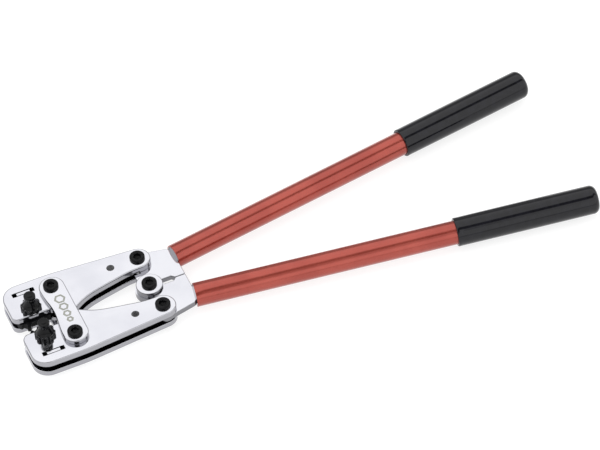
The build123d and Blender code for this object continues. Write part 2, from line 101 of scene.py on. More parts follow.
class NodeSheet:
    """Adds and joins the nodes of one material or world."""

    def __init__(self, tree: bpy.types.NodeTree) -> None:
        """Starts from an empty tree.

        Args:
            tree: Node tree of a material or world.
        """
        self.tree = tree
        tree.nodes.clear()

    def add(self, kind: str, inputs: dict | None = None, **settings: object) -> bpy.types.Node:
        """Adds a node.

        Args:
            kind: Blender's node type.
            inputs: Value or output socket for each input, by name or number.
            settings: Properties of the node itself.

        Returns:
            The new node.
        """
        node = self.tree.nodes.new(kind)
        for key, value in settings.items():
            setattr(node, key, value)
        for key, value in (inputs or {}).items():
            if isinstance(value, Socket):
                self.tree.links.new(value, node.inputs[key])
            else:
                node.inputs[key].default_value = value
        return node

    def math(self, operation: str, *values: object) -> Socket:
        """Adds a Math node.

        Args:
            operation: Blender's name of the operation.
            values: Numbers or sockets, in order.

        Returns:
            The result socket.
        """
        return self.add("ShaderNodeMath", dict(enumerate(values)), operation=operation).outputs[0]

    def remap(
        self, value: object, low: float, high: float, to_low: float = 0.0, to_high: float = 1.0
    ) -> Socket:
        """Maps a value smoothly from one range to another, held at both ends.

        Args:
            value: Socket to map.
            low: Start of the incoming range.
            high: End of the incoming range.
            to_low: Result at low.
            to_high: Result at high.

        Returns:
            The mapped value.
        """
        inputs = {"Value": value, "From Min": low, "From Max": high, "To Min": to_low, "To Max": to_high}
        return self.add("ShaderNodeMapRange", inputs, interpolation_type="SMOOTHSTEP").outputs["Result"]

    def noise(
        self, scale: float, stretch: Triple = (1.0, 1.0, 1.0), detail: float = 3.0, follow_uv: bool = False
    ) -> Socket:
        """Noise over the piece, in metres of object space or of its own UV map.

        Args:
            scale: Waves in each metre.
            stretch: How much faster the pattern repeats along each axis.
            detail: Octaves of the noise.
            follow_uv: Whether the pattern follows the piece's UV map.

        Returns:
            A value of about 0.5, from 0 to 1.
        """
        place = self.add("ShaderNodeTexCoord").outputs["UV" if follow_uv else "Object"]
        mapped = self.add("ShaderNodeMapping", {"Vector": place, "Scale": stretch})
        inputs = {"Vector": mapped.outputs[0], "Scale": scale, "Detail": detail, "Roughness": 0.55}
        return self.add("ShaderNodeTexNoise", inputs).outputs[0]

    def tint(self, mask: object, first: tuple[float, ...], second: tuple[float, ...]) -> Socket:
        """Mixes two colours by a mask.

        Args:
            mask: Socket from 0 to 1.
            first: Colour at 0, or a colour socket.
            second: Colour at 1.

        Returns:
            The mixed colour.
        """
        node = self.add("ShaderNodeMix", data_type="RGBA", clamp_factor=True)
        for number, value in ((0, mask), (6, first), (7, second)):
            if isinstance(value, Socket):
                self.tree.links.new(value, node.inputs[number])
            else:
                node.inputs[number].default_value = (*value, 1.0)
        return node.outputs[2]

    def dot(self, first: object, second: object) -> Socket:
        """Dot product of two vectors, each a socket or a constant."""
        node = self.add("ShaderNodeVectorMath", {0: first, 1: second}, operation="DOT_PRODUCT")
        return node.outputs["Value"]

    def edges(self, radius: float, patchy: float) -> Socket:
        """Mask of worn edges, where a rounded normal leaves the true one, broken up by noise.

        Args:
            radius: How far the wear reaches from an edge, in metres.
            patchy: Waves in each metre of the noise that breaks the wear up.

        Returns:
            A mask from 0 on open faces to 1 on worn edges.
        """
        rounded = self.add("ShaderNodeBevel", {"Radius": radius}, samples=4).outputs["Normal"]
        true = self.add("ShaderNodeNewGeometry").outputs["Normal"]
        mask = self.remap(self.dot(rounded, true), *EDGE_WEAR)
        return self.math("MULTIPLY", mask, self.remap(self.noise(patchy), *WEAR_PATCHES))

    def bump(self, height: object, distance: float, below: object = None) -> Socket:
        """Adds a Bump node.

        Args:
            height: Height from 0 to 1.
            distance: Height of 1, in metres.
            below: Normal to build on, if there is one.

        Returns:
            The bumped normal.
        """
        inputs = {"Height": height, "Distance": distance, "Strength": 1.0}
        if below is not None:
            inputs["Normal"] = below
        return self.add("ShaderNodeBump", inputs).outputs[0]


# ---- finishes


@dataclass(frozen=True)
class Finish:
    """A surface finish, built once as a material."""

    name: str = "finish"

    def material(self) -> bpy.types.Material:
        """The finish as a material, made the first time it is asked for."""
        found = bpy.data.materials.get(self.name)
        if found is not None:
            return found
        made = bpy.data.materials.new(self.name)
        made.use_nodes = True
        sheet = NodeSheet(made.node_tree)
        shader = sheet.add("ShaderNodeBsdfPrincipled", self.inputs(sheet))
        sheet.add("ShaderNodeOutputMaterial", {"Surface": shader.outputs[0]})
        return made

    def inputs(self, sheet: NodeSheet) -> dict:
        """Inputs of the main shader; each finish gives its own."""
        raise NotImplementedError


@dataclass(frozen=True)
class Chrome(Finish):
    """Bright chrome plate over polished steel, with hairlines, a faint wave and dulled edges; its steep walls
    carry painted shade.
    """

    name: str = "polished_chrome"
    light: Triple = (0.61, 0.612, 0.648)
    dark: Triple = (0.55, 0.553, 0.595)
    worn: Triple = (0.40, 0.40, 0.41)
    smooth: float = 0.075
    smudged: float = 0.15
    hairlines: Triple = (0.03, 1.0, 1.0)
    # Painted shade: steep walls are tinted towards this darker colour, fading in between the two levels of
    # the normal's upright share below.
    wall: Triple = (0.36, 0.36, 0.385)
    wall_shade_slope: Pair = (0.97, 0.55)
    wear_reach: float = 0.5 * MM
    wear_shade: float = 0.6
    wear_dulling: float = 0.15
    hair_dulling: float = 0.06
    hair_height: float = 0.0012 * MM
    wave_height: float = 0.012 * MM

    def inputs(self, sheet: NodeSheet) -> dict:
        """Base colour, roughness and bump, with painted shade darkening the base colour on steep walls."""
        wear = sheet.edges(self.wear_reach, 160.0)
        colour = sheet.tint(sheet.remap(sheet.noise(14.0), 0.35, 0.65), self.dark, self.light)
        normal = sheet.add("ShaderNodeNewGeometry").outputs["Normal"]
        level = sheet.math("ABSOLUTE", sheet.add("ShaderNodeSeparateXYZ", {0: normal}).outputs["Z"])
        # Painted shade: the steeper the face, the more of the darker wall colour.
        painted_wall_shade = sheet.remap(level, *self.wall_shade_slope)
        colour = sheet.tint(painted_wall_shade, colour, self.wall)
        hair = sheet.noise(2600.0, self.hairlines, 2.0)
        smudge = sheet.remap(sheet.noise(38.0, detail=5.0), 0.42, 0.70)
        rough = sheet.remap(smudge, 0.0, 1.0, self.smooth, self.smudged)
        rough = sheet.math("ADD", rough, sheet.math("MULTIPLY", wear, self.wear_dulling))
        rough = sheet.math("ADD", rough, sheet.remap(hair, 0.55, 0.75, 0.0, self.hair_dulling))
        wave = sheet.bump(sheet.noise(55.0, detail=1.0), self.wave_height)
        return {
            "Base Color": sheet.tint(sheet.math("MULTIPLY", wear, self.wear_shade), colour, self.worn),
            "Metallic": 1.0,
            "Roughness": rough,
            "Normal": sheet.bump(hair, self.hair_height, wave),
        }


@dataclass(frozen=True)
class PlateChrome(Chrome):
    """Chrome on a jaw plate, with near-black painted shade on its hidden inner face, in its slot and on a
    thin band of the top face beside the slot.
    """

    name: str = "plate_chrome"
    middle: float = 0.0
    half_gap: float = 0.0
    nose: float = 0.0
    slot: Pair = (0.0, 0.0)
    slot_half: Pair = (12.7 * MM, 2.8 * MM)
    # Near-black painted shade for the gap between the plates and round the slot, with its roughness.
    oxide: Triple = (0.008, 0.008, 0.009)
    gap_shade_roughness: float = 0.4

    def inputs(self, sheet: NodeSheet) -> dict:
        """The chrome's inputs, with the colour masked to near-black painted shade on the inner faces, in the
        slot and on a band round it.
        """
        inputs = super().inputs(sheet)
        place = sheet.add("ShaderNodeTexCoord").outputs["Object"]
        x, y, height = sheet.add("ShaderNodeSeparateXYZ", {0: place}).outputs
        inside = sheet.math("COMPARE", height, self.middle, self.half_gap)
        inside = sheet.math("MULTIPLY", inside, sheet.math("GREATER_THAN", x, self.nose))
        along = sheet.math("COMPARE", x, self.slot[0], self.slot_half[0])
        across = sheet.math("COMPARE", y, self.slot[1], self.slot_half[1])
        # Painted shade: the inner faces and the slot's box turn near-black.
        black = sheet.math("MAXIMUM", inside, sheet.math("MULTIPLY", along, across))
        inputs["Base Color"] = sheet.tint(black, inputs["Base Color"], self.oxide)
        dull = sheet.math("MULTIPLY", black, self.gap_shade_roughness)
        inputs["Roughness"] = sheet.math("MAXIMUM", inputs["Roughness"], dull)
        return inputs


@dataclass(frozen=True)
class BlackOxide(Finish):
    """Oiled black oxide on machined steel, rubbed to grey along its edges; the grey edges are partly painted
    highlight.
    """

    name: str = "black_oxide_steel"
    deep: Triple = (0.0022, 0.0022, 0.0026)
    bloom: Triple = (0.007, 0.007, 0.008)
    # Grey of rubbed edges, which also stands as a painted highlight along them.
    edge_wear_and_highlight: Triple = (0.11, 0.11, 0.115)
    smooth: float = 0.16
    coarse: float = 0.30
    sheen_ior: float = 1.22
    wear_reach: float = 0.35 * MM
    wear_shade: float = 0.7
    grain_height: float = 0.004 * MM

    def inputs(self, sheet: NodeSheet) -> dict:
        """Base colour, roughness and bump of the oxide."""
        wear = sheet.edges(self.wear_reach, 420.0)
        grain = sheet.noise(1500.0, detail=4.0)
        colour = sheet.tint(sheet.remap(sheet.noise(230.0, detail=4.0), 0.40, 0.68), self.deep, self.bloom)
        return {
            "Base Color": sheet.tint(sheet.math("MULTIPLY", wear, self.wear_shade), colour, self.edge_wear_and_highlight),
            "Metallic": 0.0,
            "IOR": self.sheen_ior,
            "Roughness": sheet.remap(grain, 0.30, 0.72, self.smooth, self.coarse),
            "Normal": sheet.bump(grain, self.grain_height),
        }


@dataclass(frozen=True)
class BareSteel(Finish):
    """Ground or drawn steel with fine tool marks and a brown-grey stain here and there."""

    name: str = "ground_steel"
    bright: Triple = (0.46, 0.46, 0.47)
    stained: Triple = (0.30, 0.285, 0.27)
    smooth: float = 0.24
    coarse: float = 0.42
    marks: Triple = (1.0, 1.0, 0.05)
    mark_depth: float = 0.004 * MM

    def inputs(self, sheet: NodeSheet) -> dict:
        """Base colour, roughness and bump of the steel."""
        marks = sheet.noise(1800.0, self.marks, 2.0)
        stain = sheet.remap(sheet.noise(120.0, detail=5.0), 0.50, 0.72)
        return {
            "Base Color": sheet.tint(stain, self.bright, self.stained),
            "Metallic": 1.0,
            "Roughness": sheet.remap(marks, 0.30, 0.70, self.smooth, self.coarse),
            "Normal": sheet.bump(marks, self.mark_depth),
        }


@dataclass(frozen=True)
class Lacquer(Finish):
    """Brick-red stoved lacquer on drawn tube: a soft metallic body under a clear coat with orange peel."""

    name: str = "red_lacquer_coat"
    body: Triple = (0.31, 0.046, 0.031)
    warm: Triple = (0.36, 0.060, 0.041)
    chipped: Triple = (0.16, 0.06, 0.05)
    metallic: float = 0.62
    roughness: Pair = (0.17, 0.24)
    coat: float = 0.40
    coat_roughness: float = 0.05
    lacquer_ior: float = 1.5
    wear_reach: float = 0.4 * MM
    wear_shade: float = 0.55
    drawn_height: float = 0.002 * MM
    peel_height: float = 0.006 * MM

    def inputs(self, sheet: NodeSheet) -> dict:
        """Base colour, coat, roughness and bump of the lacquer."""
        drawn = sheet.noise(900.0, (1.0, 0.02, 1.0), 2.0, follow_uv=True)
        peel = sheet.noise(520.0, detail=2.0)
        wear = sheet.edges(self.wear_reach, 300.0)
        colour = sheet.tint(sheet.remap(sheet.noise(26.0, detail=4.0), 0.35, 0.65), self.body, self.warm)
        return {
            "Base Color": sheet.tint(sheet.math("MULTIPLY", wear, self.wear_shade), colour, self.chipped),
            "Metallic": self.metallic,
            "Roughness": sheet.remap(drawn, 0.30, 0.70, *self.roughness),
            "IOR": self.lacquer_ior,
            "Coat Weight": self.coat,
            "Coat Roughness": self.coat_roughness,
            "Coat IOR": self.lacquer_ior,
            "Coat Normal": sheet.bump(peel, self.peel_height),
            "Normal": sheet.bump(drawn, self.drawn_height),
        }


@dataclass(frozen=True)
class DippedVinyl(Finish):
    """Glossy black dipped vinyl, slightly uneven, with dust-fine mottling."""

    name: str = "black_vinyl"
    deep: Triple = (0.003, 0.003, 0.0045)
    faded: Triple = (0.006, 0.006, 0.009)
    roughness: Pair = (0.06, 0.11)
    vinyl_ior: float = 1.40
    flow_height: float = 0.05 * MM
    dust_height: float = 0.0012 * MM

    def inputs(self, sheet: NodeSheet) -> dict:
        """Base colour, gloss and bump of the vinyl."""
        flow = sheet.noise(45.0, (1.0, 0.35, 1.0), 2.0, follow_uv=True)
        fine = sheet.noise(1400.0, detail=3.0)
        mottle = sheet.noise(170.0, detail=4.0)
        return {
            "Base Color": sheet.tint(sheet.remap(mottle, 0.38, 0.66), self.deep, self.faded),
            "Metallic": 0.0,
            "IOR": self.vinyl_ior,
            "Roughness": sheet.remap(mottle, 0.30, 0.70, *self.roughness),
            "Normal": sheet.bump(fine, self.dust_height, sheet.bump(flow, self.flow_height)),
        }


@dataclass(frozen=True)
class Etching(Finish):
    """Matt grey etched mark in the chrome."""

    name: str = "etched_mark"
    deep: Triple = (0.27, 0.275, 0.245)
    pale: Triple = (0.38, 0.385, 0.35)
    metallic: float = 0.6
    roughness: Pair = (0.45, 0.62)
    frost_height: float = 0.004 * MM

    def inputs(self, sheet: NodeSheet) -> dict:
        """Base colour and roughness of the etched metal."""
        frost = sheet.noise(2500.0, detail=3.0)
        return {
            "Base Color": sheet.tint(frost, self.deep, self.pale),
            "Metallic": self.metallic,
            "Roughness": sheet.remap(frost, 0.3, 0.7, *self.roughness),
            "Normal": sheet.bump(frost, self.frost_height),
        }


@dataclass(frozen=True)
class Finishes:
    """Every finish of the tool."""

    chrome: Chrome = Chrome()
    # Painted shade: the spacer's walls are tinted near-black and the lever's walls darker than the plain
    # chrome's.
    spacer: Chrome = Chrome(name="spacer_chrome", wall=(0.02, 0.02, 0.022))
    lever: Chrome = Chrome(name="lever_chrome", wall=(0.22, 0.22, 0.235))
    oxide: BlackOxide = BlackOxide()
    knob: BlackOxide = BlackOxide(
        name="black_knob",
        deep=(0.002, 0.002, 0.0024),
        bloom=(0.005, 0.005, 0.006),
        # Painted highlight: the pale rubbed edges stand for glints on the flutes.
        edge_wear_and_highlight=(0.42, 0.42, 0.43),
        smooth=0.06,
        coarse=0.13,
        sheen_ior=1.26,
    )
    die: BlackOxide = BlackOxide(name="blackened_die", smooth=0.24, coarse=0.40, sheen_ior=1.16)
    pin: BlackOxide = BlackOxide(
        name="riveted_pin",
        deep=(0.006, 0.006, 0.007),
        bloom=(0.045, 0.045, 0.047),
        edge_wear_and_highlight=(0.16, 0.16, 0.165),
        sheen_ior=1.5,
    )
    steel: BareSteel = BareSteel()
    spring: BareSteel = BareSteel(
        name="blued_spring", bright=(0.20, 0.21, 0.24), stained=(0.14, 0.13, 0.14), marks=(1.0, 1.0, 1.0)
    )
    lacquer: Lacquer = Lacquer()
    vinyl: DippedVinyl = DippedVinyl()
    etching: Etching = Etching()


# ---- surfaces


def hexagon(angles: np.ndarray, turn: float) -> np.ndarray:
    """Outline of a hexagon with flats at distance 1.

    The radius is 1 over the cosine of the angle to the nearest flat's middle.

    Args:
        angles: Angles round the centre, in radians.
        turn: Angle of one corner.

    Returns:
        Radius at each angle.
    """
    return 1.0 / np.cos((angles - turn) % (math.pi / 3) - math.pi / 6)


def quarter(radius: float, height: float, bend: float, start: float, end: float, count: int = 7) -> list:
    """Points of an arc for a turned profile: centre plus bend times (cosine, sine).

    Args:
        radius: Distance of the arc's centre from the axis.
        height: Height of the arc's centre.
        bend: Radius of the arc.
        start: First angle, in degrees.
        end: Last angle, in degrees.
        count: Number of points.

    Returns:
        Pairs of radius and height.
    """
    angles = np.radians(np.linspace(start, end, count))
    return list(zip(radius + bend * np.cos(angles), height + bend * np.sin(angles)))


@dataclass
class Turned:
    """Surface made by carrying a profile round an axis.

    The point at (row, column) is origin + axis * height[row] + radius[row, column] * outward. Here outward
    is cos a * across + sin a * beside, and a runs once round over the columns.
    """

    name: str
    origin: Vector
    axis: Vector
    columns: int = 96

    def angles(self) -> np.ndarray:
        """Angle of each column."""
        return np.linspace(0.0, 2 * math.pi, self.columns, endpoint=False)

    def grid(self, radius: np.ndarray, height: np.ndarray) -> np.ndarray:
        """Places the profile round the axis.

        Args:
            radius: Radius of each row, or of each row and column.
            height: Height of each row.

        Returns:
            Points as rows, columns and coordinates.
        """
        axis = self.axis.normalized()
        side = UP if abs(axis.z) < 0.9 else Vector((1.0, 0.0, 0.0))
        across = (side - axis * side.dot(axis)).normalized()
        beside = axis.cross(across)
        round_axis = np.outer(np.cos(self.angles()), across) + np.outer(np.sin(self.angles()), beside)
        radius = np.asarray(radius, float)
        if radius.ndim == 1:
            radius = np.repeat(radius[:, None], self.columns, axis=1)
        along = np.asarray(height, float)[:, None, None] * np.array(axis)
        return np.array(self.origin) + along + radius[:, :, None] * round_axis

    def build(self, radius: np.ndarray, height: np.ndarray, ring: bool = False) -> bpy.types.Object:
        """Makes the mesh of the surface.

        Args:
            radius: Radius of each row, or of each row and column.
            height: Height of each row.
            ring: Whether the last row joins the first, as on a tube, instead of each ending on the axis.

        Returns:
            The object, at the origin, with a UV map in metres round and along.
        """
        points = self.grid(radius, height)
        rows, columns = points.shape[:2]
        spans = rows if ring else rows - 1
        step = np.linalg.norm(np.roll(points, -1, 0) - points, axis=2).mean(1)
        along = np.concatenate([[0.0], np.cumsum(step)])
        reach = float(np.linalg.norm(points - points.mean(1, keepdims=True), axis=2).max())
        round_step = 2 * math.pi * reach / columns
        u = np.arange(columns) * round_step
        low, high = along[:spans], along[1 : spans + 1]
        corners = [(u, low), (u + round_step, low), (u + round_step, high), (u, high)]
        places = [np.stack(np.broadcast_arrays(a[None, :], b[:, None]), axis=-1) for a, b in corners]
        uv = np.stack(places, axis=2)
        mesh = woven(self.name, points, ring)
        mesh.uv_layers.new(name="UVMap").data.foreach_set("uv", uv.ravel())
        return closed_piece(self.name, mesh)


def woven(name: str, points: np.ndarray, ring: bool = False) -> bpy.types.Mesh:
    """Makes a mesh from rows of points, each row closed on itself and joined to the next.

    Args:
        name: Name of the mesh.
        points: Points as rows, columns and coordinates.
        ring: Whether the last row joins the first.

    Returns:
        The mesh, all of four-sided faces.
    """
    number = np.arange(points.shape[0] * points.shape[1]).reshape(points.shape[:2])
    below, above = (number, np.roll(number, -1, 0)) if ring else (number[:-1], number[1:])
    faces = np.stack([below, np.roll(below, -1, 1), np.roll(above, -1, 1), above], axis=-1)
    mesh = bpy.data.meshes.new(name)
    mesh.from_pydata(points.reshape(-1, 3).tolist(), [], faces.reshape(-1, 4).tolist())
    return mesh


def closed_piece(name: str, mesh: bpy.types.Mesh) -> bpy.types.Object:
    """Closes a mesh's poles and seams, turns its faces outwards and shades it smooth between sharp edges.

    Args:
        name: Name of the piece.
        mesh: Its mesh.

    Returns:
        The finished object.
    """
    work = bmesh.new()
    work.from_mesh(mesh)
    bmesh.ops.remove_doubles(work, verts=work.verts, dist=MERGE_DISTANCE)
    bmesh.ops.dissolve_degenerate(work, edges=work.edges, dist=MERGE_DISTANCE / 10)
    bmesh.ops.recalc_face_normals(work, faces=work.faces)
    work.to_mesh(mesh)
    work.free()
    mesh.polygons.foreach_set("use_smooth", np.ones(len(mesh.polygons), bool))
    mesh.set_sharp_from_angle(angle=SHARP_ANGLE)
    piece = bpy.data.objects.new(name, mesh)
    bpy.context.scene.collection.objects.link(piece)
    return piece


def centre_of(low: Vector, high: Vector) -> Pair:
    """Centre of a box, along and across the tool."""
    return (low.x + high.x) / 2, (low.y + high.y) / 2


def fit(piece: bpy.types.Object, finish: Finish, slot: Slot, body: str, *nodes: str) -> None:
    """Gives a piece its finish and body, hides the CAD nodes it stands for, and reports it.

    Args:
        piece: The finished object.
        finish: Its finish.
        slot: The record's slot that the finish answers to. Not used.
        body: The body that it rides on.
        nodes: CAD nodes that it replaces.
    """
    piece.data.materials.clear()
    piece.data.materials.append(finish.material())
    if nodes:
        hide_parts(*nodes)
    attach(piece, body)
    log.info("%s: %d faces, rides on %s", piece.name, len(piece.data.polygons), body)


def dress(finish: Finish, *nodes: str) -> None:
    """Gives CAD nodes a finish.

    Args:
        finish: The finish.
        nodes: Names of the CAD nodes.
    """
    for node in nodes:
        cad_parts[node].data.materials[0] = finish.material()
        log.info("%s: finished in %s", node, finish.name)


# ---- fasteners


@dataclass(frozen=True)
class SocketBolt:
    """Low-headed socket bolt, drawn from the bottom of its socket outwards and down its shank."""

    head_radius: float = 8.4 * MM
    head_height: float = 3.4 * MM
    shank_radius: float = 6.0 * MM
    rounding: float = 1.4 * MM
    socket_flat: float = 4.0 * MM
    socket_depth: float = 4.4 * MM
    drill_point: float = 1.3 * MM
    lead_in: float = 0.55 * MM
    flare: float = 0.25 * MM
    rim: float = 0.12 * MM
    rim_drop: float = 0.05 * MM
    foot_chamfer: float = 0.3 * MM
    end_chamfer: float = 0.9 * MM

    def build(self, name: str, x: float, y: float, low: float, top: float) -> bpy.types.Object:
        """Makes the bolt.

        Each row has a radius, a height and how hexagonal it is: 1 on the socket's walls and 0 elsewhere.

        Args:
            name: Name of the piece.
            x: Centre along the tool.
            y: Centre across the tool.
            low: Height of the shank's end.
            top: Height of the head's top.

        Returns:
            The bolt.
        """
        surface = Turned(name, Vector((x, y, 0.0)), UP, 120)
        floor = top - self.socket_depth
        mouth = self.socket_flat / math.cos(math.pi / 6) + self.flare
        seat = top - self.head_height
        crown = quarter(self.head_radius - self.rounding, top - self.rounding, self.rounding, 90.0, 0.0)
        rows = [
            (0.0, floor - self.drill_point, 0.0),
            (0.8 * self.socket_flat, floor - 0.2 * MM, 0.0),
            (self.socket_flat, floor, 1.0),
            (self.socket_flat, top - self.lead_in, 1.0),
            (mouth, top - self.rim_drop, 0.0),
            (mouth + self.rim, top, 0.0),
            *[(radius, height, 0.0) for radius, height in crown],
            (self.head_radius, seat + self.foot_chamfer, 0.0),
            (self.head_radius - self.foot_chamfer, seat, 0.0),
            (self.shank_radius, seat, 0.0),
            (self.shank_radius, low + self.end_chamfer, 0.0),
            (self.shank_radius - self.end_chamfer, low, 0.0),
            (0.0, low, 0.0),
        ]
        radius, height, hexness = np.array(rows).T
        swell = 1.0 + hexness[:, None] * (hexagon(surface.angles(), 0.0) - 1.0)
        return surface.build(radius[:, None] * swell, height)


@dataclass(frozen=True)
class HexNut:
    """Hexagonal nut with turned corners on both faces and a countersunk bore."""

    across_flats: float = 17.0 * MM
    turn: float = math.radians(12.0)
    corner_radius: float = 9.7 * MM
    chamfer: float = 1.2 * MM
    countersink: float = 0.6 * MM
    face_slope: float = 1.9
    seat_share: float = 0.5
    seat_slope: float = 0.8

    def build(self, name: str, x: float, y: float, low: float, high: float, bore: float) -> bpy.types.Object:
        """Makes the nut.

        The outside is the lesser of the hexagon and a cone that closes in towards each face.

        Args:
            name: Name of the piece.
            x: Centre along the tool.
            y: Centre across the tool.
            low: Height of its outer face.
            high: Height of its seat.
            bore: Radius of its bore.

        Returns:
            The nut.
        """
        surface = Turned(name, Vector((x, y, 0.0)), UP, 144)
        rise = np.linspace(0.0, 1.0, 8)
        lower = low + rise * self.chamfer
        upper = high - rise[::-1] * self.seat_share * self.chamfer
        slopes = [(1.0 - rise) * self.face_slope, rise * self.seat_slope]
        inset = np.concatenate([slope * self.chamfer for slope in slopes])
        cone = self.corner_radius - inset
        flat = self.across_flats / 2 * hexagon(surface.angles(), self.turn)
        outside = np.minimum(flat[None, :], cone[:, None])
        inside_radius = np.array([bore, bore, bore + self.countersink])
        inside_height = np.array([high, low + self.countersink, low])
        inside = np.repeat(inside_radius[:, None], surface.columns, axis=1)
        height = np.concatenate([lower, upper, inside_height])
        return surface.build(np.vstack([outside, inside]), height, ring=True)


@dataclass(frozen=True)
class RivetPin:
    """Spacer pin riveted over in both plates: a closed ring round a shallow dimple at each end."""

    radius: float = 4.4 * MM
    collar: float = 5.5 * MM
    plate: float = 7.5 * MM
    proud: float = 0.12 * MM
    dimple: float = 0.9 * MM
    groove: float = 0.25 * MM
    edge_break: float = 0.1 * MM

    def build(self, name: str, x: float, y: float, low: float, high: float) -> bpy.types.Object:
        """Makes the pin.

        Each end's profile is drawn from the axis outwards, and the lower one mirrors the upper one.

        Args:
            name: Name of the piece.
            x: Centre along the tool.
            y: Centre across the tool.
            low: Height of the back plate's outer face.
            high: Height of the front plate's outer face.

        Returns:
            The pin.
        """
        r = self.radius
        end = [
            (0.0, -self.dimple),
            (0.16 * r, -0.96 * self.dimple),
            (0.34 * r, -0.62 * self.dimple),
            (0.46 * r, -0.10 * self.dimple),
            (0.52 * r, self.proud),
            (0.72 * r, self.proud),
            (0.80 * r, 0.4 * self.proud),
            (0.84 * r, -self.groove),
            (0.92 * r, -self.groove),
            (0.97 * r, 0.0),
            (r, -self.edge_break),
            (r, -self.plate),
            (self.collar, -self.plate),
        ]
        radius, drop = np.array(end).T
        height = np.concatenate([high + drop, (low - drop)[::-1]])
        surface = Turned(name, Vector((x, y, 0.0)), UP, 72)
        return surface.build(np.concatenate([radius, radius[::-1]]), height)


# ---- sub-assemblies


@dataclass
class Link:
    """The link that the jaws hang on: two plates, two bolts with nuts, and a row of etched hexagons."""

    finishes: Finishes
    bolt: SocketBolt = SocketBolt()
    nut: HexNut = HexNut()
    nut_height: float = 5.0 * MM
    mark_sizes: tuple[float, ...] = (11.5 * MM, 10.0 * MM, 8.6 * MM, 7.2 * MM)
    mark_line: float = 2.1 * MM
    mark_relief: float = 0.03 * MM
    mark_shift: float = 2.0 * MM
    mark_gap: float = 1.2 * MM

    def build(self) -> None:
        """Builds and dresses the link."""
        dress(self.finishes.chrome, "link_plate_front", "link_plate_back")
        low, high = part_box("link_bolts")
        x = (low.x + high.x) / 2
        reach = high.y - self.bolt.head_radius
        for name, y in (("upper", reach), ("lower", -reach)):
            made = self.bolt.build(f"link_bolt_{name}", x, y, low.z, high.z)
            fit(made, self.finishes.oxide, Slot.OXIDE, "link", "link_bolts")
            made = self.nut.build(
                f"link_nut_{name}", x, y, low.z, low.z + self.nut_height, self.bolt.shank_radius
            )
            fit(made, self.finishes.oxide, Slot.OXIDE, "link", "link_nuts")
        self.build_marks(x)

    def build_marks(self, x: float) -> None:
        """Makes the etched hexagons, largest towards the upper jaw.

        Args:
            x: Centre of the link's bolts along the tool.
        """
        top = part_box("link_plate_front")[1].z
        length = sum(self.mark_sizes) + self.mark_gap * (len(self.mark_sizes) - 1)
        y = length / 2
        for count, size in enumerate(self.mark_sizes):
            centre = Vector((x + self.mark_shift, y - size / 2, 0.0))
            surface = Turned(f"size_mark_{count + 1}", centre, UP, 72)
            outside = hexagon(surface.angles(), 0.0) * size / 2
            inside = outside * (1.0 - 2 * self.mark_line / size)
            radius = np.stack([inside, outside, outside, inside])
            height = top + self.mark_relief * np.array([-1.0, -1.0, 1.0, 1.0])
            fit(surface.build(radius, height, ring=True), self.finishes.etching, Slot.CHROME, "link")
            y -= size + self.mark_gap


@dataclass
class CentrePivot:
    """Bolt and nut that both levers turn on."""

    finishes: Finishes
    bolt: SocketBolt = SocketBolt()
    nut: HexNut = HexNut()

    def build(self) -> None:
        """Builds the bolt and the nut."""
        place_bolt("centre_bolt", "centre_nut", "centre_pivot", self.bolt, self.nut, self.finishes.oxide)


def place_bolt(
    bolt_node: str, nut_node: str, body: str, bolt: SocketBolt, nut: HexNut, finish: Finish
) -> None:
    """Builds a bolt and its nut in place of their CAD nodes.

    Args:
        bolt_node: CAD node of the bolt.
        nut_node: CAD node of the nut.
        body: Body that both ride on.
        bolt: Sizes of the bolt.
        nut: Sizes of the nut.
        finish: Finish of both.
    """
    low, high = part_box(bolt_node)
    nut_low, nut_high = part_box(nut_node)
    x, y = centre_of(low, high)
    made = bolt.build(bolt_node + "_turned", x, y, low.z, high.z)
    fit(made, finish, Slot.OXIDE, body, bolt_node)
    made = nut.build(nut_node + "_turned", x, y, nut_low.z, nut_high.z, bolt.shank_radius)
    fit(made, finish, Slot.OXIDE, body, nut_node)


